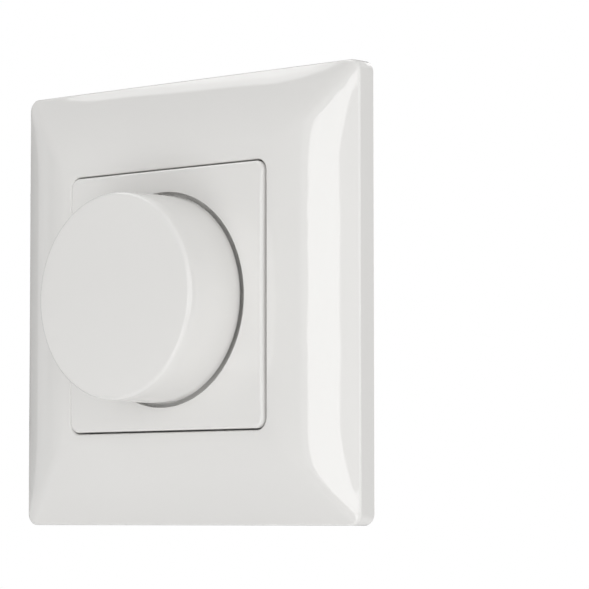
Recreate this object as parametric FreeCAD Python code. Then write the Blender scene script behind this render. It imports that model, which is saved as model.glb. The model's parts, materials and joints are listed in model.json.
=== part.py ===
import FreeCAD, Part
import math
import os

# Rotary dimmer switch for wall mounting, in millimetres.
# Every piece is drawn with z measured out of the wall, then laid over so that
# +Z is up, the face looks along -Y and the wall is the plane Y = 0.

V = FreeCAD.Vector

# Outer frame
FRAME_SIDE = 86.0
FRAME_DEPTH = 10.0
EDGE_WALL = 4.0
EDGE_ROUND = 0.6
WINDOW = 50.6
WINDOW_CORNER = 2.3
FACE_BAND = 1.7
BORDER = FRAME_SIDE / 2 - WINDOW / 2 - FACE_BAND
BORDER_POWER = 1.6
CORNER = 2.2
FLAT_CORNER = 0.45 * (FACE_BAND + WINDOW_CORNER)
LIP_ROUND = 0.4
LEAN_START = WINDOW / 2 - WINDOW_CORNER
LEAN = 0.3125 * BORDER
LEAN_POWER = 1.2
SHELL = 1.8
SHELL_UNDER = 2.0
COLLAR = 1.1
COLLAR_REAR = 5.4

# Centre plate
PLATE_GAP = 0.3
PLATE_SIDE = WINDOW - 2 * PLATE_GAP
PLATE_CORNER = 2.0
PLATE_CROWN = 11.11
PLATE_DOME = 1000.0
PLATE_EDGE = 0.7
PLATE_UNDER = 9.2
PLATE_SKIRT = 1.2
SKIRT_REAR = 5.6

# Knob
KNOB_MARGIN = 5.05
KNOB_REAR_R = PLATE_SIDE / 2 - KNOB_MARGIN
KNOB_FRONT_R = KNOB_REAR_R - 0.35
KNOB_REAR = PLATE_CROWN
KNOB_TOP = 25.1
KNOB_SHOULDER = KNOB_TOP - 1.3
KNOB_ROUND = 0.9
KNOB_REAR_ROUND = 0.12
KNOB_DOME = 437.0
KNOB_SKIRT_R = KNOB_REAR_R - 1.25
KNOB_INNER_R = KNOB_SKIRT_R - 1.3
KNOB_ROOF = KNOB_TOP - 2.2
RIB_DEPTH = 2.5
WELL_GAP = 0.65
WELL_R = KNOB_REAR_R + WELL_GAP
WELL_FLOOR = 9.0
WELL_WALL = 1.2
PUSH = 0.5
PUSH_SPARE = 0.1
KNOB_SKIRT_REAR = WELL_FLOOR + PUSH + PUSH_SPARE

# Clearances
SEAT = 0.03
RUN = 0.03
SNAP = 0.2
MOULD = 0.15

# Wall plate
WALL_PLATE_GAP = 0.8
WALL_PLATE = FRAME_SIDE - 2 * (SHELL + WALL_PLATE_GAP)
WALL_PLATE_T = 1.6
WALL_WINDOW = 52.0
LEDGE_T = 0.8
SCREW_PITCH = WALL_WINDOW + 8.0
SLOT_W = 3.8
SLOT_L = 6.0
RIM_MIDDLE = (WALL_WINDOW + WALL_PLATE) / 4
ARM_IN = RIM_MIDDLE - 0.2
ARM_T = 1.2
ARM_W = 8.0
ARM_POS = 18.0
ARM_TOP = 5.6
BEAD = 0.6
TONGUE_W = 14.0
TONGUE_T = 1.2
TONGUE_TOP = 5.0

# Electronics housing
BOX_HALF = PLATE_SIDE / 2 - PLATE_SKIRT - MOULD
BOX_WALL = 1.2
BOX_REAR = 0.4
BOX_FLOOR = 1.4
BOX_FRONT = PLATE_UNDER - 0.2
POST = BOX_HALF - 4.65
POST_R = 2.6
CATCH_Y = 12.0
CATCH_W = 8.0

# Cell and door
CELL_R = 12.25
CELL_T = 3.0
CELL_REAR = 1.9
DOOR_R = CELL_R + 1.75
DOOR_FLANGE_R = DOOR_R + 1.3

# Circuit board
BOARD_HALF = BOX_HALF - BOX_WALL - 0.65
BOARD_REAR = 5.4
CHIP_ROW = (CELL_R + 1.35 + BOX_HALF - BOX_WALL) / 2
BOARD_T = 1.2
BOARD_FRONT = BOARD_REAR + BOARD_T

# Rotary encoder
ENC_HALF = 6.0
ENC_FLOOR = BOARD_FRONT + 1.8
ENC_TOP = 10.95
CUP_R = 5.4
DOME_REAR = BOARD_FRONT + 1.0
DOME_TOP = DOME_REAR + 0.4
SHAFT_R = 3.0
TAIL_R = 2.5
SHAFT_END = DOME_TOP + PUSH + 0.05
SHAFT_TOP = KNOB_ROOF - 0.6
FLAT_AT = 1.5
STOP_R = 3.5
STOP_FRONT = ENC_TOP
STOP_REAR = 10.45
ROTOR_R = 5.2
ROTOR_REAR = 8.95
ROTOR_FRONT = STOP_REAR - PUSH - 0.05
CAN_T = 0.4
CAN_REAR = ENC_TOP + 0.05
CAN_FRONT = CAN_REAR + CAN_T
FLANGE_R = 4.8
FLANGE_T = 0.8
NECK_R = 3.5
NECK_TOP = 16.8
BOSS_IN = 6.6
BOSS_WALL = 1.2
BOSS_UNDER = CAN_FRONT + FLANGE_T + SEAT
BOSS_TOP = BOSS_UNDER + 1.2
WASHER_R = 5.6
WASHER_T = 0.5
NUT_FLATS = 10.0
NUT_T = 2.0
HUB_R = 5.0
HUB_REAR = NECK_TOP + PUSH + 0.2
GRIP = SHAFT_TOP - HUB_REAR


def box(x0, x1, y0, y1, z0, z1):
    return Part.makeBox(x1 - x0, y1 - y0, z1 - z0, V(x0, y0, z0))


def rod(r, z0, z1, x=0.0, y=0.0):
    return Part.makeCylinder(r, z1 - z0, V(x, y, z0), V(0, 0, 1))


def ring(r_out, r_in, z0, z1):
    return rod(r_out, z0, z1).cut(rod(r_in, z0 - 1, z1 + 1))


def closed_wire(corners):
    # corners are lists of edges in order round the axis, joined here by straight sides
    edges = []
    for i in range(4):
        edges.extend(corners[i])
        here = corners[i][-1].Vertexes[-1].Point
        there = corners[(i + 1) % 4][0].Vertexes[0].Point
        edges.append(Part.makeLine(here, there))
    return Part.Wire(edges)


def quarters(corner):
    return [[spun(edge, 90 * i) for edge in corner] for i in range(4)]


def square_wire(half, r, z):
    k = half - r
    points = [V(k + r * math.cos(a), k + r * math.sin(a), z) for a in (0, math.pi / 4, math.pi / 2)]
    return closed_wire(quarters([Part.Arc(*points).toShape()]))


def square_prism(half, r, z0, z1):
    return Part.Face(square_wire(half, r, z0)).extrude(V(0, 0, z1 - z0))


def turned(points):
    # points are (radius, height) pairs of a closed outline on one side of the axis
    loop = [V(r, 0, z) for r, z in points]
    loop.append(loop[0])
    face = Part.Face(Part.makePolygon(loop))
    return face.revolve(V(0, 0, 0), V(0, 0, 1), 360)


def along_y(points, y0, y1):
    # points are (x, z) pairs of a closed outline
    loop = [V(x, y0, z) for x, z in points]
    loop.append(loop[0])
    return Part.Face(Part.makePolygon(loop)).extrude(V(0, y1 - y0, 0))


def spun(shape, angle):
    out = shape.copy()
    out.rotate(V(0, 0, 0), V(0, 0, 1), angle)
    return out


def four_sides(shape):
    return [spun(shape, a) for a in (0, 90, 180, 270)]


def joined(first, others):
    return first.multiFuse(others).removeSplitter()


def without(shape, others):
    return shape.cut(Part.makeCompound(others))


def border_height(share):
    # share of the border's width out from the flat face, 0 at the flat and 1 at the edge
    return FRAME_DEPTH - (FRAME_DEPTH - EDGE_WALL) * share ** BORDER_POWER


def border_wire(share, z):
    # a rounded square whose sides lean in towards their corners half way down the border
    side = FRAME_SIDE / 2 - BORDER * (1 - share)
    r = FLAT_CORNER + (CORNER - FLAT_CORNER) * share
    mitre = side - LEAN * max(0.0, share * (1 - share)) ** LEAN_POWER
    angle = math.atan2(2 * (side - mitre), mitre - LEAN_START)
    centre = mitre - r / (math.cos(angle) + math.sin(angle))
    start = V(side, LEAN_START, z)
    bend = V(centre + r * math.cos(angle), centre + r * math.sin(angle), z)
    middle = V(centre + r * math.cos(math.pi / 4), centre + r * math.sin(math.pi / 4), z)
    end = V(bend.y, bend.x, z)
    if angle < 1e-6:
        return closed_wire(quarters([Part.makeLine(start, bend), Part.Arc(bend, middle, end).toShape(),
                                     Part.makeLine(end, V(start.y, start.x, z))]))
    pull = bend.y - (side - bend.x) / math.tan(angle)
    rising = Part.BezierCurve()
    rising.setPoles([start, V(side, pull, z), bend])
    falling = Part.BezierCurve()
    falling.setPoles([end, V(pull, side, z), V(start.y, start.x, z)])
    arc = Part.Arc(bend, middle, end)
    return closed_wire(quarters([rising.toShape(), arc.toShape(), falling.toShape()]))


def border_prism(share, z0, z1):
    return Part.Face(border_wire(share, z0)).extrude(V(0, 0, z1 - z0))


def border_loft(outer_share, drop):
    wires = []
    steps = 10
    for i in range(steps + 1):
        share = outer_share * (1 - i / steps)
        wires.append(border_wire(share, border_height(share) - drop))
    return Part.makeLoft(wires, True, False)


def frame():
    half = FRAME_SIDE / 2
    body = border_prism(1.0, 0, EDGE_WALL).fuse(border_loft(1.0, 0.0)).removeSplitter()
    rim = [e for e in body.Edges if abs(e.BoundBox.ZMin - EDGE_WALL) < 1e-4
           and abs(e.BoundBox.ZMax - EDGE_WALL) < 1e-4]
    body = body.makeFillet(EDGE_ROUND, rim)
    inside = 1 - SHELL / BORDER
    low = border_height(inside) - SHELL_UNDER
    cavity = border_prism(inside, -1, low).fuse(border_loft(inside, SHELL_UNDER))
    shell = body.cut(cavity)
    inner = WINDOW / 2
    additions = [square_prism(inner + COLLAR, WINDOW_CORNER + COLLAR, COLLAR_REAR, FRAME_DEPTH - 1)]
    catch_in = ARM_IN + ARM_T + BEAD + SNAP
    webs = []
    for pos in (-9.0, 9.0):
        webs.append(box(inner + 0.5, half, pos - 0.6, pos + 0.6, 4.4, FRAME_DEPTH))
    for pos in (-ARM_POS, ARM_POS):
        y0 = pos - ARM_W / 2 - 1
        y1 = pos + ARM_W / 2 + 1
        lip = catch_in - BEAD
        catch = [(catch_in + 1.2, 2.2), (catch_in + 1.2, FRAME_DEPTH), (catch_in, FRAME_DEPTH),
                 (catch_in, 4.2), (lip, 4.2), (lip, 3.3), (catch_in, 2.6), (catch_in, 2.2)]
        webs.append(along_y(catch, y0, y1))
    bite = 0.3
    thick = border_prism(inside, -1, low + bite).fuse(border_loft(inside, SHELL_UNDER - bite))
    for web in webs:
        additions.extend(four_sides(web.common(thick)))
    shell = joined(shell, additions)
    hole = square_prism(inner, WINDOW_CORNER, -1, FRAME_DEPTH + 1)
    shell = shell.cut(hole)
    lip_edges = [e for e in shell.Edges if abs(e.BoundBox.ZMin - FRAME_DEPTH) < 1e-4
                 and e.BoundBox.XMax < inner + 0.01 and e.BoundBox.XMin > -inner - 0.01
                 and e.BoundBox.YMax < inner + 0.01 and e.BoundBox.YMin > -inner - 0.01]
    return shell.makeFillet(LIP_ROUND, lip_edges)


def domed(block, crown, radius):
    # trims the block under a very large ball, whose seam is kept far below
    middle = V(0, 0, crown - radius)
    ball = Part.makeSphere(radius, middle, V(0, 1, 0))
    ball.rotate(middle, V(0, 1, 0), 180)
    return block.common(ball)


def centre_plate():
    half = PLATE_SIDE / 2
    block = square_prism(half, PLATE_CORNER, SKIRT_REAR, PLATE_CROWN + 1)
    block = domed(block, PLATE_CROWN, PLATE_DOME)
    top = [f for f in block.Faces if f.Surface.TypeId == "Part::GeomSphere"]
    rim = [e for f in top for e in f.Edges]
    block = block.makeFillet(PLATE_EDGE, rim)
    inside = square_prism(half - PLATE_SKIRT, PLATE_CORNER - 0.8, SKIRT_REAR - 1, PLATE_UNDER)
    plate = block.cut(inside)
    pan = rod(WELL_R + WELL_WALL, WELL_FLOOR - WELL_WALL, PLATE_UNDER + 0.3)
    boss_out = square_prism(BOSS_IN + BOSS_WALL, 2.5, WELL_FLOOR - WELL_WALL, BOSS_TOP)
    plate = plate.fuse(pan)
    plate = plate.cut(rod(WELL_R, WELL_FLOOR, PLATE_CROWN + 1))
    brim = [e for e in plate.Edges if e.BoundBox.ZMax > PLATE_UNDER + 1
            and abs(e.BoundBox.XMax - WELL_R) < 1e-3]
    plate = plate.makeFillet(0.15, brim)
    plate = plate.fuse(boss_out)
    plate = plate.cut(square_prism(BOSS_IN, 0.8, 0, BOSS_UNDER))
    plate = plate.cut(rod(NECK_R + 0.1, 0, BOSS_TOP + 1))
    hooks = []
    wall = half - PLATE_SKIRT
    for pos in (-CATCH_Y, CATCH_Y):
        nose = [(wall + 0.2, SKIRT_REAR), (wall, SKIRT_REAR), (wall - 0.5, 6.1), (wall - 0.5, 6.5),
                (wall + 0.2, 6.5)]
        hook = along_y(nose, pos - CATCH_W / 2, pos + CATCH_W / 2)
        hooks.append(hook)
        hooks.append(spun(hook, 180))
    return joined(plate, hooks)


def knob():
    taper = (KNOB_REAR_R - KNOB_FRONT_R) / (KNOB_SHOULDER - KNOB_REAR)
    tall = KNOB_TOP + 1
    outline = [(0, KNOB_SKIRT_REAR), (KNOB_SKIRT_R, KNOB_SKIRT_REAR), (KNOB_SKIRT_R, KNOB_REAR),
               (KNOB_REAR_R, KNOB_REAR), (KNOB_REAR_R - taper * (tall - KNOB_REAR), tall), (0, tall)]
    cap = domed(turned(outline), KNOB_TOP, KNOB_DOME)
    rim = [e for e in cap.Edges if e.BoundBox.ZMin > KNOB_SHOULDER and e.BoundBox.ZMax < KNOB_TOP - 0.2]
    cap = cap.makeFillet(KNOB_ROUND, rim)
    back = [e for e in cap.Edges if abs(e.BoundBox.ZMax - KNOB_REAR) < 1e-4
            and abs(e.BoundBox.ZMin - KNOB_REAR) < 1e-4 and abs(e.BoundBox.XMax - KNOB_REAR_R) < 1e-3]
    cap = cap.makeFillet(KNOB_REAR_ROUND, back)
    hollow = [(0, 0), (KNOB_INNER_R, 0), (KNOB_INNER_R, KNOB_ROOF - 0.8), (KNOB_INNER_R - 0.8, KNOB_ROOF),
              (0, KNOB_ROOF)]
    cap = cap.cut(turned(hollow))
    additions = [rod(HUB_R, HUB_REAR, KNOB_ROOF + 0.5)]
    for i in range(6):
        rib = box(HUB_R - 1, KNOB_INNER_R + 0.5, -0.6, 0.6, KNOB_ROOF - RIB_DEPTH, KNOB_ROOF + 0.5)
        additions.append(spun(rib, 30 + 60 * i))
    cap = joined(cap, additions)
    clip_side = FLAT_AT + 0.36
    bore = rod(SHAFT_R + RUN, HUB_REAR - 1, SHAFT_TOP + 0.2)
    bore = bore.common(box(-5, clip_side, -5, 5, 0, 30))
    lead = Part.makeCone(SHAFT_R + 0.6, SHAFT_R, 0.6, V(0, 0, HUB_REAR - 0.01), V(0, 0, 1))
    lead = lead.common(box(-5, clip_side, -5, 5, 0, 30))
    return cap.cut(bore).cut(lead)


def hub_clip():
    inner = FLAT_AT + 0.03
    outer = inner + 0.25
    z0 = HUB_REAR + GRIP / 12
    z1 = SHAFT_TOP - GRIP / 16
    strip = box(inner, outer, -1.7, 1.7, z0, z1)
    foot = box(inner, outer + 0.05, -1.0, 1.0, z0 + GRIP / 4, z1 - GRIP / 4)
    return joined(strip, [foot])


def encoder_shaft():
    tail = rod(TAIL_R, SHAFT_END, STOP_REAR)
    tail = tail.cut(box(FLAT_AT, 5, -5, 5, 0, STOP_REAR))
    stop = rod(STOP_R, STOP_REAR, STOP_FRONT)
    stem = rod(SHAFT_R, STOP_FRONT, SHAFT_TOP)
    tip = [e for e in stem.Edges if abs(e.BoundBox.ZMin - SHAFT_TOP) < 1e-4]
    stem = stem.makeChamfer(0.4, tip)
    stem = stem.cut(box(FLAT_AT, 5, -5, 5, NECK_TOP + PUSH + 0.1, 30))
    return joined(tail, [stop, stem])


def encoder_rotor():
    disc = rod(ROTOR_R, ROTOR_REAR, ROTOR_FRONT)
    hole = rod(TAIL_R + RUN, 0, 20)
    hole = hole.cut(box(FLAT_AT + RUN, 5, -5, 5, -1, 21))
    disc = disc.cut(hole)
    notches = []
    for i in range(24):
        notches.append(spun(box(4.1, 6, -0.22, 0.22, ROTOR_FRONT - 0.3, ROTOR_FRONT + 1), 15 * i))
    return without(disc, notches)


def wiper_contacts():
    top = ROTOR_REAR - SEAT
    plate = ring(4.9, 3.0, top - 0.15, top)
    fingers = []
    for i in range(3):
        arm = [(3.2, top - 0.3), (3.5, top - 0.3), (3.5, top - 0.1), (3.2, top - 0.1)]
        fingers.append(spun(along_y(arm, -0.9, 0.9), 120 * i))
        far = [(4.3, top - 0.3), (4.6, top - 0.3), (4.6, top - 0.1), (4.3, top - 0.1)]
        fingers.append(spun(along_y(far, -0.9, 0.9), 120 * i + 40))
    return joined(plate, fingers)


def contact_tracks():
    z0 = ENC_FLOOR + 0.01
    z1 = z0 + 0.08
    inner = ring(3.7, 3.0, z0, z1)
    outer = ring(4.9, 4.1, z0, z1)
    gaps = []
    for i in range(12):
        gaps.append(spun(box(3.9, 5.2, -0.35, 0.35, z0 - 1, z1 + 1), 30 * i))
    return Part.makeCompound([inner] + without(outer, gaps).Solids)


def encoder_base():
    h = ENC_HALF
    body = square_prism(h, 0.4, BOARD_FRONT + SEAT, ENC_TOP)
    body = body.cut(rod(CUP_R, ENC_FLOOR, ENC_TOP + 1))
    body = body.cut(rod(2.85, DOME_REAR, ENC_FLOOR + 1))
    pegs = [rod(0.6, BOARD_FRONT - 0.8, BOARD_FRONT + 0.5, 4.4, 4.4)]
    pegs.append(rod(0.6, BOARD_FRONT - 0.8, BOARD_FRONT + 0.5, -4.4, -4.4))
    return joined(body, pegs)


def switch_dome():
    # a snap dome standing on its rim in the pocket of the base
    rim_z = DOME_REAR + 0.01
    outer = [(2.7, rim_z), (2.7, rim_z + 0.08), (1.6, rim_z + 0.27), (0.0, rim_z + 0.39),
             (0.0, rim_z + 0.31), (1.6, rim_z + 0.19), (2.5, rim_z)]
    return turned(outer)


def detent_spring():
    top = ENC_TOP - 0.02
    band = ring(5.25, 3.9, top - 0.2, top)
    tooth = [(4.2, top - 0.1), (4.2, top - 0.7), (4.5, top - 0.98), (4.8, top - 0.7), (4.8, top - 0.1)]
    return joined(band, [along_y(tooth, -0.15, 0.15), spun(along_y(tooth, -0.15, 0.15), 180)])


def encoder_can():
    h = ENC_HALF + 0.05
    top = square_prism(h + 0.35, 0.5, CAN_REAR, CAN_FRONT)
    sides = []
    for angle in (0, 180):
        leg = box(h, h + 0.35, -3.6, 3.6, BOARD_FRONT + 0.1, CAN_REAR + 0.1)
        sides.append(spun(leg, angle))
    can = joined(top, sides)
    return can.cut(rod(STOP_R + 0.15, CAN_REAR - 1, CAN_FRONT + 1))


def encoder_bushing():
    spigot = rod(STOP_R + 0.1, CAN_REAR, CAN_FRONT + SEAT)
    flange = rod(FLANGE_R, CAN_FRONT + SEAT, CAN_FRONT + FLANGE_T)
    neck = rod(NECK_R, CAN_FRONT + FLANGE_T, NECK_TOP)
    tip = [e for e in neck.Edges if abs(e.BoundBox.ZMin - NECK_TOP) < 1e-4]
    neck = neck.makeChamfer(0.3, tip)
    body = joined(spigot, [flange, neck])
    return body.cut(rod(SHAFT_R + RUN, 0, 30))


def lock_washer():
    z0 = BOSS_TOP + SEAT
    body = ring(WASHER_R, NECK_R + 0.1, z0, z0 + WASHER_T)
    bites = []
    for i in range(8):
        bites.append(spun(box(WASHER_R - 0.7, WASHER_R + 1, -0.5, 0.5, z0 - 1, z0 + 2), 45 * i))
    return without(body, bites)


def bushing_nut():
    z0 = BOSS_TOP + SEAT + WASHER_T + SEAT
    r = NUT_FLATS / 2 / math.cos(math.pi / 6)
    pts = [V(r * math.cos(math.radians(60 * i)), r * math.sin(math.radians(60 * i)), z0) for i in range(7)]
    hexagon = Part.Face(Part.makePolygon(pts)).extrude(V(0, 0, NUT_T))
    crown = Part.makeCone(r + 0.35, r - 0.45, NUT_T + 0.6, V(0, 0, z0), V(0, 0, 1))
    nut = hexagon.common(crown)
    return nut.cut(rod(NECK_R + 0.06, 0, 30))


def encoder_legs():
    legs = []
    z = BOARD_FRONT
    shape = [(ENC_HALF + 0.01, z + 0.6), (ENC_HALF + 0.8, z + 0.6), (ENC_HALF + 0.8, z + SEAT),
             (ENC_HALF + 2.0, z + SEAT), (ENC_HALF + 2.0, z + 0.2), (ENC_HALF + 1.0, z + 0.2),
             (ENC_HALF + 1.0, z + 0.8), (ENC_HALF + 0.01, z + 0.8)]
    leg = along_y(shape, -0.4, 0.4)
    for pos in (-2.5, 0.0, 2.5):
        piece = leg.copy()
        piece.translate(V(0, pos, 0))
        legs.append(spun(piece, -90))
    for pos in (-2.5, 2.5):
        piece = leg.copy()
        piece.translate(V(0, pos, 0))
        legs.append(spun(piece, 90))
    return Part.makeCompound(legs)


def wall_plate():
    half = WALL_PLATE / 2
    plate = square_prism(half, 3.0, 0, WALL_PLATE_T)
    rim = square_prism(half - 0.6, 2.6, 0.5, 2.4)
    rim = rim.cut(square_prism(half - 1.8, 2.0, 0, 3))
    plate = plate.fuse(rim)
    window = WALL_WINDOW / 2
    # a thin ledge at the rear of the window stops the view through the gap round the centre plate
    ledge = BOX_HALF + BEAD + SNAP
    cuts = [square_prism(window, 3.0, LEDGE_T, 4), square_prism(ledge, 2.4, -1, 4)]
    mid = SCREW_PITCH / 2
    reach = (SLOT_L - SLOT_W) / 2
    slot = box(mid - reach, mid + reach, -SLOT_W / 2, SLOT_W / 2, -1, 4)
    slot = slot.fuse(rod(SLOT_W / 2, -1, 4, mid - reach, 0))
    slot = slot.fuse(rod(SLOT_W / 2, -1, 4, mid + reach, 0)).removeSplitter()
    cuts.extend(four_sides(slot))
    cuts.extend(four_sides(rod(3.0, -1, 4, ARM_IN, ARM_IN)))
    plate = without(plate, cuts)
    extras = []
    arm_out = ARM_IN + ARM_T
    for pos in (-ARM_POS, ARM_POS):
        y0 = pos - ARM_W / 2
        y1 = pos + ARM_W / 2
        arm = [(ARM_IN, 1.0), (arm_out, 1.0), (arm_out, 4.4), (arm_out + BEAD, 4.4),
               (arm_out + BEAD, 4.9), (arm_out, ARM_TOP), (ARM_IN, ARM_TOP)]
        extras.extend(four_sides(along_y(arm, y0, y1)))
    face = BOX_HALF + BEAD + SNAP
    tip = BOX_HALF + SNAP
    tongue = [(window + 0.5, 0.0), (window + 0.5, WALL_PLATE_T), (face + TONGUE_T, WALL_PLATE_T),
              (face + TONGUE_T, TONGUE_TOP), (face, TONGUE_TOP), (tip, 4.4), (tip, 4.0), (face, 4.0),
              (face, 0.0)]
    for angle in (90, 270):
        extras.append(spun(along_y(tongue, -TONGUE_W / 2, TONGUE_W / 2), angle))
    return joined(plate, extras)


def rear_housing():
    body = square_prism(BOX_HALF, 1.85, BOX_REAR, BOX_FRONT)
    body = body.cut(square_prism(BOX_HALF - BOX_WALL, 1.2, BOX_FLOOR, BOX_FRONT + 1))
    adds = []
    for sx in (-1, 1):
        for sy in (-1, 1):
            adds.append(rod(POST_R, BOX_FLOOR - 0.2, BOARD_REAR - SEAT, sx * POST, sy * POST))
            x0, x1 = sorted((sx * POST, sx * (BOX_HALF - 0.5)))
            adds.append(box(x0, x1, sy * POST - 0.6, sy * POST + 0.6, BOX_FLOOR - 0.2, 4.8))
    for pos in (-14.0, 14.0):
        tab = box(BOX_HALF - 0.4, 28.0, pos - 4, pos + 4, WALL_PLATE_T + SEAT, WALL_PLATE_T + SEAT + 1.1)
        adds.append(tab)
        adds.append(spun(tab, 180))
    rail = [(BOX_HALF - 0.3, 2.2), (BOX_HALF, 2.2), (BOX_HALF + BEAD, 2.9), (BOX_HALF + BEAD, 3.8),
            (BOX_HALF - 0.3, 3.8)]
    for angle in (90, 270):
        adds.append(spun(along_y(rail, -TONGUE_W / 2, TONGUE_W / 2), angle))
    body = joined(body, adds)
    cuts = [rod(DOOR_R + 0.2, 0, BOX_FLOOR + 0.1), rod(DOOR_FLANGE_R + 0.2, 0, BOX_REAR + 0.55)]
    for angle in (0, 180):
        cuts.append(spun(box(DOOR_R - 2, DOOR_R + 1.6, -3.0, 3.0, 0, BOX_FLOOR + 0.1), angle))
    for pos in (-CATCH_Y, CATCH_Y):
        slot = box(BOX_HALF - 2, BOX_HALF + 1, pos - CATCH_W / 2 - 0.5, pos + CATCH_W / 2 + 0.5, 5.5, 6.8)
        cuts.append(slot)
        cuts.append(spun(slot, 180))
    for sx in (-1, 1):
        for sy in (-1, 1):
            cuts.append(rod(0.85, 2.0, BOARD_REAR + 1, sx * POST, sy * POST))
    return without(body, cuts)


def cell_door():
    flange = rod(DOOR_FLANGE_R, BOX_REAR, BOX_REAR + 0.5)
    disc = rod(DOOR_R, BOX_REAR, BOX_FLOOR)
    lip = ring(DOOR_R, CELL_R + 0.65, BOX_FLOOR - 0.2, 2.1)
    pads = ring(CELL_R - 4.25, CELL_R - 5.75, BOX_FLOOR - 0.2, CELL_REAR - SEAT)
    adds = [disc, lip, pads]
    for angle in (90, 270):
        lug = box(DOOR_R - 0.6, DOOR_R + 1.2, -2.6, 2.6, BOX_FLOOR + 0.05, 2.1)
        adds.append(spun(lug, angle))
    door = joined(flange, adds)
    coin = box(-9, 9, -1.0, 1.0, BOX_REAR - 1, BOX_REAR + 0.5)
    return door.cut(coin)


def coin_cell():
    z1 = CELL_REAR + CELL_T
    can = [(0, CELL_REAR), (CELL_R - 0.4, CELL_REAR), (CELL_R, CELL_REAR + 0.4), (CELL_R, z1 - 0.5),
           (CELL_R - 0.9, z1 - 0.25), (CELL_R - 1.3, z1 - 0.25), (CELL_R - 1.6, z1), (0, z1)]
    return turned(can)


def cell_holder():
    z0 = 2.2
    z1 = BOARD_REAR - SEAT
    body = ring(CELL_R + 1.35, CELL_R + 0.25, z0, z1)
    ledge = ring(CELL_R + 0.5, CELL_R - 1.2, CELL_REAR + CELL_T + 0.1, z1)
    body = joined(body, [ledge])
    gap = box(CELL_R - 3, CELL_R + 3, -3.2, 3.2, 0, 10)
    grip = box(-CELL_R - 3, -CELL_R + 0.4, -4, 4, 0, 4.6)
    return without(body, [gap, grip])


def cell_positive_clip():
    x = CELL_R + 0.04
    z1 = BOARD_REAR - SEAT
    strip = [(x, 2.6), (x + 0.25, 2.6), (x + 0.25, z1 - 0.25), (x + 3.8, z1 - 0.25), (x + 3.8, z1), (x, z1)]
    return along_y(strip, -2.5, 2.5)


def cell_negative_spring():
    z1 = BOARD_REAR - SEAT
    low = CELL_REAR + CELL_T + 0.04
    strip = [(-6, z1), (-6, z1 - 0.15), (-2.5, z1 - 0.15), (0.5, low), (3.5, low), (5.0, z1 - 0.2),
             (4.9, z1 - 0.05), (3.4, low + 0.15), (0.6, low + 0.15), (-2.4, z1)]
    return along_y(strip, -1.8, 1.8)


def circuit_board():
    board = square_prism(BOARD_HALF, 1.5, BOARD_REAR, BOARD_FRONT)
    cuts = []
    for sx in (-1, 1):
        for sy in (-1, 1):
            cuts.append(rod(1.2, 0, 10, sx * POST, sy * POST))
    cuts.append(rod(0.7, 0, 10, 4.4, 4.4))
    cuts.append(rod(0.7, 0, 10, -4.4, -4.4))
    for angle in (0, 180):
        cuts.append(spun(box(BOARD_HALF - 0.8, 30, CATCH_Y - 5, CATCH_Y + 5, 0, 10), angle))
        cuts.append(spun(box(BOARD_HALF - 0.8, 30, -CATCH_Y - 5, -CATCH_Y + 5, 0, 10), angle))
    return without(board, cuts)


def board_screws():
    screws = []
    for sx in (-1, 1):
        for sy in (-1, 1):
            head = rod(1.9, BOARD_FRONT + SEAT, BOARD_FRONT + 1.3, sx * POST, sy * POST)
            rim = [e for e in head.Edges if abs(e.BoundBox.ZMin - BOARD_FRONT - 1.3) < 1e-4]
            head = head.makeFillet(0.4, rim)
            stem = rod(0.8, 2.4, BOARD_FRONT + 0.2, sx * POST, sy * POST)
            screw = joined(head, [stem])
            top = BOARD_FRONT + 1.3
            screw = screw.cut(box(sx * POST - 1.0, sx * POST + 1.0, sy * POST - 0.2, sy * POST + 0.2,
                                  top - 0.6, top + 1))
            screw = screw.cut(box(sx * POST - 0.2, sx * POST + 0.2, sy * POST - 1.0, sy * POST + 1.0,
                                  top - 0.6, top + 1))
            screws.append(screw)
    return Part.makeCompound(screws)


def rear_chip(x, y, w, d, h, edge):
    z1 = BOARD_REAR - SEAT
    body = box(x - w / 2, x + w / 2, y - d / 2, y + d / 2, z1 - h, z1)
    under = [e for e in body.Edges if abs(e.BoundBox.ZMax - (z1 - h)) < 1e-4]
    return body.makeChamfer(edge, under)


def radio_chip():
    return rear_chip(0, -CHIP_ROW, 6.0, 6.0, 0.9, 0.12)


def timing_crystal():
    return rear_chip(8.0, -CHIP_ROW, 3.2, 2.5, 0.8, 0.1)


def chip_antenna():
    return rear_chip(-10.5, -CHIP_ROW - 1.8, 5.2, 2.0, 1.1, 0.1)


def storage_capacitor():
    return rear_chip(0, CHIP_ROW - 0.2, 6.0, 3.2, 2.0, 0.2)


def board_capacitors():
    spots = []
    for i in range(4):
        spots.append(rear_chip(-5.2, -CHIP_ROW - 2.4 + 1.6 * i, 1.6, 0.8, 0.7, 0.06))
    for y in (CHIP_ROW - 1.0, CHIP_ROW + 0.8):
        spots.append(rear_chip(5.4, y, 1.6, 0.8, 0.7, 0.06))
    return Part.makeCompound(spots)


def board_resistors():
    spots = []
    for i in range(3):
        for y in (CHIP_ROW + 0.8, CHIP_ROW - 1.2):
            spots.append(rear_chip(-10.0 + 2.4 * i, y, 1.6, 0.8, 0.45, 0.05))
    return Part.makeCompound(spots)


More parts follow.
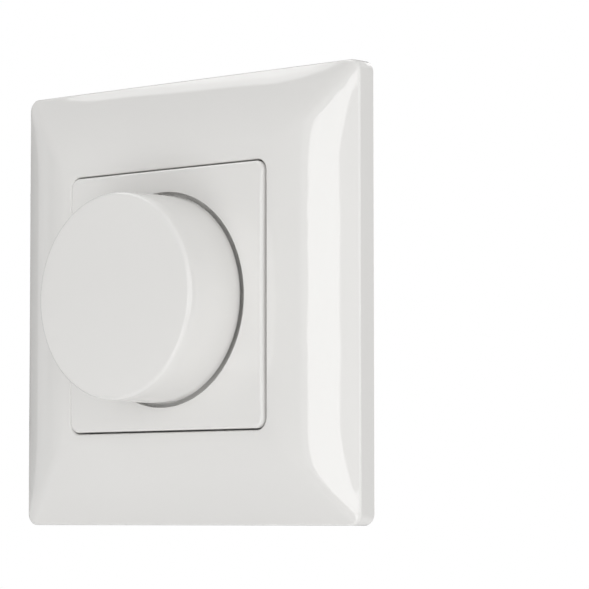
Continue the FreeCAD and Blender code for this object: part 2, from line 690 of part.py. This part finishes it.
PIECES = [
    ("frame", frame, 1),
    ("centre_plate", centre_plate, 1),
    ("knob", knob, 1),
    ("hub_clip", hub_clip, 1),
    ("encoder_shaft", encoder_shaft, 1),
    ("encoder_rotor", encoder_rotor, 1),
    ("wiper_contacts", wiper_contacts, 1),
    ("contact_tracks", contact_tracks, 13),
    ("encoder_base", encoder_base, 1),
    ("switch_dome", switch_dome, 1),
    ("detent_spring", detent_spring, 1),
    ("encoder_can", encoder_can, 1),
    ("encoder_bushing", encoder_bushing, 1),
    ("lock_washer", lock_washer, 1),
    ("bushing_nut", bushing_nut, 1),
    ("encoder_legs", encoder_legs, 5),
    ("wall_plate", wall_plate, 1),
    ("rear_housing", rear_housing, 1),
    ("cell_door", cell_door, 1),
    ("coin_cell", coin_cell, 1),
    ("cell_holder", cell_holder, 1),
    ("cell_positive_clip", cell_positive_clip, 1),
    ("cell_negative_spring", cell_negative_spring, 1),
    ("circuit_board", circuit_board, 1),
    ("board_screws", board_screws, 4),
    ("radio_chip", radio_chip, 1),
    ("timing_crystal", timing_crystal, 1),
    ("chip_antenna", chip_antenna, 1),
    ("storage_capacitor", storage_capacitor, 1),
    ("board_capacitors", board_capacitors, 6),
    ("board_resistors", board_resistors, 6),
]


def main():
    os.makedirs("parts", exist_ok=True)
    for name, make, count in PIECES:
        shape = make()
        if shape.ShapeType == "Compound" and len(shape.Solids) == 1:
            shape = shape.Solids[0]
        shape.rotate(V(0, 0, 0), V(1, 0, 0), 90)
        if len(shape.Solids) != count or not shape.isValid():
            raise RuntimeError(name + " has " + str(len(shape.Solids)) + " solids")
        shape.exportStep("parts/" + name + ".step")
        print(name, round(shape.Volume, 2))


main()
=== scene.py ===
import json
import math
import bpy
from mathutils import Matrix, Vector


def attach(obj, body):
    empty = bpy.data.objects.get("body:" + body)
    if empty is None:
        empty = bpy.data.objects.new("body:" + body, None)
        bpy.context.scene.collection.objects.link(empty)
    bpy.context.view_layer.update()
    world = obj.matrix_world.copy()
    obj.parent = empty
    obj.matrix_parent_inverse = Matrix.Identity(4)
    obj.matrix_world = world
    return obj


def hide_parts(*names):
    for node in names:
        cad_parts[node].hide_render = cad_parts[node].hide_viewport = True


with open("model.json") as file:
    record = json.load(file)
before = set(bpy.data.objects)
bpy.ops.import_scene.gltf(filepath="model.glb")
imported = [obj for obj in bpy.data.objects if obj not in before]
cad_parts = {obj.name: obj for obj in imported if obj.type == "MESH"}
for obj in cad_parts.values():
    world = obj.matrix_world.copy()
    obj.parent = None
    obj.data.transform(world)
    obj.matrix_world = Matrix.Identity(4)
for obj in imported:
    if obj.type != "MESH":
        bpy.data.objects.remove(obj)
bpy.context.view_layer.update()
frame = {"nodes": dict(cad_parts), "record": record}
NODES = frame["nodes"]
BODY_OF = {node: body for body, nodes in frame["record"]["behaviour"]["bodies"].items()
           for node in nodes}

# Moulded shells that are shown as smooth welded copies: metres and degrees
CURVED_SHELLS = ("frame", "knob")
FLAT_SHELLS = ("centre_plate", "wall_plate", "rear_housing", "cell_door")
WELD_DISTANCE = 0.000001
SMOOTH_ANGLE = 30.0
FACING_BACK = 0.9999

# Camera at the photograph's viewing angle: pixels, degrees and metres
PICTURE = 589.0
FOCAL_LENGTH = 3016.8
CENTRE_FROM_LEFT = 193.43
CENTRE_FROM_TOP = 306.28
CAMERA_YAW = 42.195
CAMERA_TILT = -4.129
CAMERA_ROLL = 0.097
CAMERA_DISTANCE = 0.58455
CAMERA_LEFT = 0.001374
CAMERA_DOWN = 0.000672
CAMERA_REACH = 50.0
SENSOR_WIDTH = 36.0

# Studio: metres, and strengths at which 1 is white
AMBIENT = 0.538
WHITE = (1.0, 1.0, 1.0, 1.0)
FLOOR_HEIGHT = -0.9
FLOOR_RADIUS = 3.0
FLOOR_SIDES = 96
FLOOR_GLOW = (0.97, 0.97, 0.97, 1.0)
FLOOR_GLOW_SHARE = 0.85

# Refractive index of the plastics, resins and lacquers
IOR = 1.5


# Shader sockets that can be added and multiplied like numbers
class Sock:
    def __init__(self, nodes, socket):
        self.nodes = nodes
        self.socket = socket

    def _math(self, operation, a, b):
        return self.nodes.node("ShaderNodeMath", {"operation": operation}, {0: a, 1: b})

    def __add__(self, other):
        return self._math("ADD", self, other)

    def __radd__(self, other):
        return self._math("ADD", other, self)

    def __mul__(self, other):
        return self._math("MULTIPLY", self, other)

    def __rmul__(self, other):
        return self._math("MULTIPLY", other, self)

    def either(self, other):
        return self._math("MAXIMUM", self, other)


# Nodes of one tree: the settings go in first, then the values and the links
class Nodes:
    def __init__(self, tree):
        self.tree = tree

    def node(self, kind, settings=None, values=None, out=0):
        made = self.tree.nodes.new(kind)
        for key, value in (settings or {}).items():
            if key == "stops":
                self.set_stops(made.color_ramp.elements, value)
            else:
                setattr(made, key, value)
        for key, value in (values or {}).items():
            self.feed(made.inputs[key], value)
        return Sock(self, made.outputs[out]) if made.outputs else None

    def set_stops(self, elements, stops):
        while len(elements) < len(stops):
            elements.new(0.5)
        for element, (position, shade) in zip(elements, stops):
            element.position = position
            element.color = (shade, shade, shade, 1.0)

    def feed(self, socket, value):
        if isinstance(value, Sock):
            self.tree.links.new(value.socket, socket)
        else:
            socket.default_value = value

    def seen_rays(self):
        # 1 for rays from the camera, off a mirror or through glass, and 0 for those that only light
        straight = self.node("ShaderNodeLightPath", out="Is Camera Ray")
        mirrored = self.node("ShaderNodeLightPath", out="Is Glossy Ray")
        through = self.node("ShaderNodeLightPath", out="Is Transmission Ray")
        return straight.either(mirrored).either(through)


# One material of the object or the studio, with its pattern on Object coordinates
class Finish(Nodes):
    def __init__(self, name, roughness, metallic=0.0):
        self.material = bpy.data.materials.new(name)
        self.material.use_nodes = True
        super().__init__(self.material.node_tree)
        self.shader = self.tree.nodes["Principled BSDF"]
        self.set("Roughness", roughness)
        self.set("Metallic", metallic)
        self.set("IOR", IOR)
        self.place = self.node("ShaderNodeTexCoord", out="Object")

    def set(self, name, value):
        self.feed(self.shader.inputs[name], value)

    def noise(self, scale, detail=2.0, roughness=0.5, place=None):
        values = {"Vector": place or self.place, "Scale": scale,
                  "Detail": detail, "Roughness": roughness}
        return self.node("ShaderNodeTexNoise", None, values, "Fac")

    def mapped(self, place, **values):
        return self.node("ShaderNodeMapping", None, {"Vector": place, **values})

    def ramp(self, value, stops):
        return self.node("ShaderNodeValToRGB", {"stops": stops}, {"Fac": value})

    def mix(self, amount, first, second):
        values = {0: amount}
        for slot, colour in ((6, first), (7, second)):
            values[slot] = (*colour, 1.0) if isinstance(colour, tuple) else colour
        return self.node("ShaderNodeMix", {"data_type": "RGBA"}, values, 2)

    def bump(self, height, strength, distance):
        values = {"Height": height, "Strength": strength, "Distance": distance}
        return self.node("ShaderNodeBump", None, values)


def glossy_white(name, shift):
    # polished mould surface: almost flat, with a faint orange peel and a few dull wipe marks
    f = Finish(name, roughness=0.07)
    where = f.mapped(f.place, Location=shift)
    tone = f.noise(22.0, detail=3.0, place=where)
    f.set("Base Color", f.mix(tone, (0.804, 0.796, 0.778), (0.822, 0.814, 0.797)))
    wiped = f.mapped(where, Scale=(1.0, 1.0, 0.25))
    dull = f.noise(180.0, detail=4.0, roughness=0.6, place=wiped)
    marks = f.ramp(dull, [(0.45, 0.0), (0.75, 1.0)])
    f.set("Roughness", 0.045 + marks * 0.03)
    peel = f.noise(420.0, detail=1.0, roughness=0.4, place=where)
    f.set("Normal", f.bump(peel, strength=0.25, distance=0.00001))
    return f.material


def textured_plastic(name, dark, light):
    # spark-eroded mould texture on the parts that stay out of sight
    f = Finish(name, roughness=0.5)
    tone = f.noise(35.0, detail=4.0)
    f.set("Base Color", f.mix(tone, dark, light))
    pits = f.noise(2200.0, detail=3.0, roughness=0.65)
    f.set("Roughness", 0.42 + pits * 0.16)
    f.set("Normal", f.bump(pits, strength=0.5, distance=0.00002))
    return f.material


def rolled_metal(name, dark, light, roughness=0.28, stretch=(1.0, 1.0, 40.0)):
    # sheet and bar with fine drawn lines along the stretched direction and a faint stain
    f = Finish(name, roughness, metallic=1.0)
    along = f.mapped(f.place, Scale=stretch)
    lines = f.noise(160.0, detail=5.0, roughness=0.7, place=along)
    stain = f.noise(90.0, detail=3.0)
    f.set("Base Color", f.mix(stain, dark, light))
    f.set("Roughness", roughness - 0.07 + lines * 0.16)
    f.set("Normal", f.bump(lines, strength=0.2, distance=0.000004))
    return f.material


def solder_mask(name):
    # green lacquer with the copper tracks showing through as lighter lines
    f = Finish(name, roughness=0.32)
    grid = f.node("ShaderNodeTexVoronoi", {"distance": "CHEBYCHEV", "feature": "F2"},
                  {"Vector": f.place, "Scale": 260.0, "Randomness": 0.55}, "Distance")
    tracks = f.ramp(grid, [(0.62, 0.0), (0.70, 1.0)])
    weave = f.noise(900.0)
    lacquer = f.mix(tracks, (0.012, 0.105, 0.045), (0.030, 0.190, 0.075))
    f.set("Base Color", f.mix(weave * 0.15, lacquer, (0.05, 0.22, 0.10)))
    f.set("Roughness", 0.28 + weave * 0.1)
    f.set("Normal", f.bump(tracks, strength=0.4, distance=0.00003))
    return f.material


def moulded_chip(name, dark, light, roughness=0.4):
    # filled resin or pressed ceramic with a fine grit
    f = Finish(name, roughness)
    grit = f.noise(5200.0, detail=3.0, roughness=0.7)
    f.set("Base Color", f.mix(grit, dark, light))
    f.set("Roughness", roughness - 0.1 + grit * 0.2)
    f.set("Normal", f.bump(grit, strength=0.4, distance=0.00001))
    return f.material


def finishes():
    # each finish with the nodes that wear it
    wears = [
        (glossy_white("glossy_white_frame", shift=(0.0, 0.0, 0.0)), ["frame"]),
        (glossy_white("glossy_white_plate", shift=(0.31, 0.12, 0.07)), ["centre_plate"]),
        (glossy_white("glossy_white_knob", shift=(0.05, 0.43, 0.21)), ["knob"]),
        (textured_plastic("grey_inner_plastic", (0.56, 0.56, 0.55), (0.62, 0.62, 0.60)),
         ["wall_plate", "rear_housing"]),
        (textured_plastic("pale_door_plastic", (0.60, 0.60, 0.58), (0.66, 0.66, 0.64)),
         ["cell_door"]),
        (textured_plastic("black_moulding", (0.018, 0.018, 0.020), (0.035, 0.035, 0.038)),
         ["encoder_base", "encoder_rotor", "cell_holder"]),
        (rolled_metal("spring_steel", (0.52, 0.51, 0.49), (0.62, 0.61, 0.58)),
         ["hub_clip", "switch_dome", "detent_spring", "cell_positive_clip",
          "cell_negative_spring"]),
        (rolled_metal("nickel_plate", (0.60, 0.58, 0.54), (0.70, 0.68, 0.64), roughness=0.24),
         ["encoder_can", "timing_crystal"]),
        (rolled_metal("zinc_plate", (0.52, 0.55, 0.58), (0.64, 0.66, 0.68), roughness=0.33),
         ["lock_washer", "bushing_nut", "board_screws"]),
        (rolled_metal("cast_zinc", (0.42, 0.42, 0.42), (0.52, 0.52, 0.51), roughness=0.42,
                      stretch=(1.0, 1.0, 1.0)), ["encoder_bushing"]),
        (rolled_metal("turned_aluminium", (0.66, 0.66, 0.66), (0.76, 0.76, 0.76), roughness=0.25,
                      stretch=(1.0, 60.0, 1.0)), ["encoder_shaft"]),
        (rolled_metal("gold_flash", (0.80, 0.58, 0.26), (0.90, 0.69, 0.34), roughness=0.26),
         ["wiper_contacts", "contact_tracks", "encoder_legs"]),
        (rolled_metal("cell_can", (0.62, 0.62, 0.60), (0.72, 0.72, 0.70), roughness=0.22),
         ["coin_cell"]),
        (solder_mask("green_board"), ["circuit_board"]),
        (moulded_chip("chip_epoxy", (0.018, 0.018, 0.020), (0.034, 0.034, 0.036), roughness=0.55),
         ["radio_chip", "board_resistors"]),
        (moulded_chip("white_ceramic", (0.70, 0.69, 0.66), (0.78, 0.77, 0.74)),
         ["chip_antenna"]),
        (moulded_chip("tan_ceramic", (0.36, 0.25, 0.14), (0.44, 0.32, 0.19)),
         ["board_capacitors"]),
        (moulded_chip("amber_resin", (0.62, 0.36, 0.06), (0.72, 0.44, 0.09)),
         ["storage_capacitor"]),
    ]
    return {node: material for material, nodes in wears for node in nodes}


def paint(obj, material):
    obj.data.materials.clear()
    obj.data.materials.append(material)


def only(obj):
    bpy.ops.object.select_all(action="DESELECT")
    obj.select_set(True)
    bpy.context.view_layer.objects.active = obj


def even_normals(skin):
    # wide flat faces keep their own normal where a small fillet meets them
    even = skin.modifiers.new("even_normals", "WEIGHTED_NORMAL")
    even.mode = "FACE_AREA"
    even.keep_sharp = True


def crisp_rear_rim(skin):
    # the flat rear rim keeps its own normal, and the curved front stays smooth
    rim = {key for face in skin.data.polygons if face.normal.y > FACING_BACK
           for key in face.edge_keys}
    for edge in skin.data.edges:
        edge.use_edge_sharp = edge.use_edge_sharp or edge.key in rim


def smooth_skin(node):
    # a welded copy of the piece, so that its curved faces shade without facets
    skin = bpy.data.objects.new(node + "_skin", NODES[node].data.copy())
    bpy.context.scene.collection.objects.link(skin)
    only(skin)
    bpy.ops.object.mode_set(mode="EDIT")
    bpy.ops.mesh.select_all(action="SELECT")
    bpy.ops.mesh.remove_doubles(threshold=WELD_DISTANCE)
    bpy.ops.object.mode_set(mode="OBJECT")
    bpy.ops.object.shade_smooth_by_angle(angle=math.radians(SMOOTH_ANGLE))
    if node in FLAT_SHELLS:
        even_normals(skin)
    else:
        crisp_rear_rim(skin)
    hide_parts(node)
    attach(skin, BODY_OF[node])
    return skin


def dress(finish_of):
    for node, obj in NODES.items():
        shown = smooth_skin(node) if node in CURVED_SHELLS + FLAT_SHELLS else obj
        paint(shown, finish_of[node])


def direction(azimuth, elevation):
    # 0 degrees is straight out of the wall, and the azimuth grows to the right
    a = math.radians(azimuth)
    e = math.radians(elevation)
    return Vector((math.sin(a) * math.cos(e), -math.cos(a) * math.cos(e), math.sin(e)))


def camera():
    data = bpy.data.cameras.new("camera")
    data.sensor_width = SENSOR_WIDTH
    data.lens = FOCAL_LENGTH / PICTURE * SENSOR_WIDTH
    data.shift_x = (PICTURE / 2 - CENTRE_FROM_LEFT) / PICTURE
    data.shift_y = (CENTRE_FROM_TOP - PICTURE / 2) / PICTURE
    data.clip_end = CAMERA_REACH
    back = direction(CAMERA_YAW, CAMERA_TILT)
    right = Vector((0, 0, 1)).cross(back).normalized()
    up = back.cross(right)
    roll = math.radians(CAMERA_ROLL)
    side = right * math.cos(roll) + up * math.sin(roll)
    top = up * math.cos(roll) - right * math.sin(roll)
    place = back * CAMERA_DISTANCE - side * CAMERA_LEFT - top * CAMERA_DOWN
    turn = Matrix((side, top, back)).transposed()
    cam = bpy.data.objects.new("camera", data)
    cam.matrix_world = Matrix.Translation(place) @ turn.to_4x4()
    bpy.context.scene.collection.objects.link(cam)
    bpy.context.scene.camera = cam


def room():
    # an even grey surround for the light, white wherever it is seen or mirrored
    world = bpy.data.worlds.new("studio")
    bpy.context.scene.world = world
    world.use_nodes = True
    world.node_tree.nodes.clear()
    sky = Nodes(world.node_tree)
    light = sky.node("ShaderNodeBackground", None, {"Color": WHITE, "Strength": AMBIENT})
    backdrop = sky.node("ShaderNodeBackground", None, {"Color": WHITE, "Strength": 1.0})
    both = sky.node("ShaderNodeMixShader", None, {0: sky.seen_rays(), 1: light, 2: backdrop})
    sky.node("ShaderNodeOutputWorld", None, {"Surface": both})


def floor():
    # a wide pale disc: seen or mirrored it is almost white, and it keeps the object's shadow
    bpy.ops.object.select_all(action="DESELECT")
    bpy.ops.mesh.primitive_circle_add(vertices=FLOOR_SIDES, radius=FLOOR_RADIUS,
                                      fill_type="NGON", location=(0, 0, 0))
    disc = bpy.context.object
    disc.name = "studio_floor"
    disc.data.transform(Matrix.Translation((0, 0, FLOOR_HEIGHT)))
    f = Finish("pale_floor", roughness=0.8)
    tone = f.noise(3.0, detail=3.0)
    f.set("Base Color", f.mix(tone, (0.86, 0.86, 0.86), (0.88, 0.88, 0.88)))
    plain = Sock(f, f.shader.outputs["BSDF"])
    glow = f.node("ShaderNodeEmission", None, {"Color": FLOOR_GLOW})
    both = f.node("ShaderNodeMixShader", None,
                  {0: f.seen_rays() * FLOOR_GLOW_SHARE, 1: plain, 2: glow})
    f.feed(f.tree.nodes["Material Output"].inputs["Surface"], both)
    paint(disc, f.material)


def board(name, width, height, azimuth, elevation, distance, shades):
    # a plain studio board that only the polished faces mirror; its shade changes with the height
    bpy.ops.object.select_all(action="DESELECT")
    bpy.ops.mesh.primitive_plane_add(size=1.0)
    card = bpy.context.object
    card.name = name
    way = direction(azimuth, elevation)
    turn = way.to_track_quat("Z", "Y").to_matrix().to_4x4()
    size = Matrix.Diagonal((width, height, 1.0, 1.0))
    card.data.transform(Matrix.Translation(way * distance) @ turn @ size)
    card.visible_camera = card.visible_diffuse = card.visible_shadow = False
    f = Finish(name, roughness=0.9)
    up = f.node("ShaderNodeSeparateXYZ", None, {"Vector": f.place}, "Z")
    # the ramp runs from 1 m below the object's middle to 1 m above it
    stops = [(0.5 + z * 0.5, shade) for z, shade in shades]
    f.set("Base Color", f.ramp(up * 0.5 + 0.5, stops))
    f.set("Roughness", 0.85 + f.noise(40.0, detail=3.0) * 0.1)
    paint(card, f.material)


def boards():
    # the shades are pairs of a height in metres and a grey
    board("dark_board_front", width=1.5, height=2.35, azimuth=-42.0, elevation=-2.0, distance=0.9,
          shades=[(-0.85, 0.02), (-0.65, 0.25), (-0.50, 0.48), (-0.05, 0.45),
                  (0.08, 0.09), (0.3, 0.25), (0.6, 0.18), (0.8, 0.08)])
    board("dark_board_left", width=0.20, height=1.6, azimuth=-88.0, elevation=0.0, distance=0.85,
          shades=[(-0.1, 0.50), (0.2, 0.42)])
    board("dark_board_rear_left", width=1.15, height=1.5, azimuth=-128.0, elevation=10.0,
          distance=0.85, shades=[(0.15, 0.02), (0.4, 0.35)])
    board("dark_board_rear", width=0.8, height=1.0, azimuth=138.0, elevation=0.0, distance=0.9,
          shades=[(0.0, 0.12), (0.1, 0.12)])


def softbox(name, width, height, azimuth, elevation, distance, radiance, roll=0.0):
    # an even rectangle of light that faces the object, as bright to a mirror as its radiance
    data = bpy.data.lights.new(name, "AREA")
    data.shape = "RECTANGLE"
    data.size = width
    data.size_y = height
    data.energy = radiance * math.pi * width * height
    lamp = bpy.data.objects.new(name, data)
    way = direction(azimuth, elevation)
    lamp.location = way * distance
    turn = way.to_track_quat("Z", "Y").to_matrix() @ Matrix.Rotation(math.radians(roll), 3, "Z")
    lamp.rotation_euler = turn.to_euler()
    bpy.context.scene.collection.objects.link(lamp)


def lamps():
    softbox("front_softbox", width=0.28, height=0.99, azimuth=10.0, elevation=-12.2,
            distance=1.0, radiance=2.88)
    softbox("side_softbox", width=0.7, height=0.7, azimuth=52.0, elevation=5.0,
            distance=1.0, radiance=0.86)
    softbox("right_softbox", width=0.45, height=0.7, azimuth=106.0, elevation=0.0,
            distance=1.0, radiance=1.95)
    softbox("low_softbox", width=0.35, height=0.5, azimuth=14.0, elevation=-32.0,
            distance=0.95, radiance=0.8)
    softbox("overhead_softbox", width=0.7, height=0.4, azimuth=-63.0, elevation=60.8,
            distance=1.0, radiance=1.9, roll=35.0)
    softbox("under_softbox", width=1.2, height=0.5, azimuth=-30.0, elevation=-68.0,
            distance=0.9, radiance=0.25)
    softbox("rear_softbox", width=0.9, height=0.9, azimuth=185.0, elevation=24.0,
            distance=1.2, radiance=1.8)


dress(finishes())
camera()
room()
floor()
boards()
lamps()
bpy.context.scene.view_settings.view_transform = "Standard"
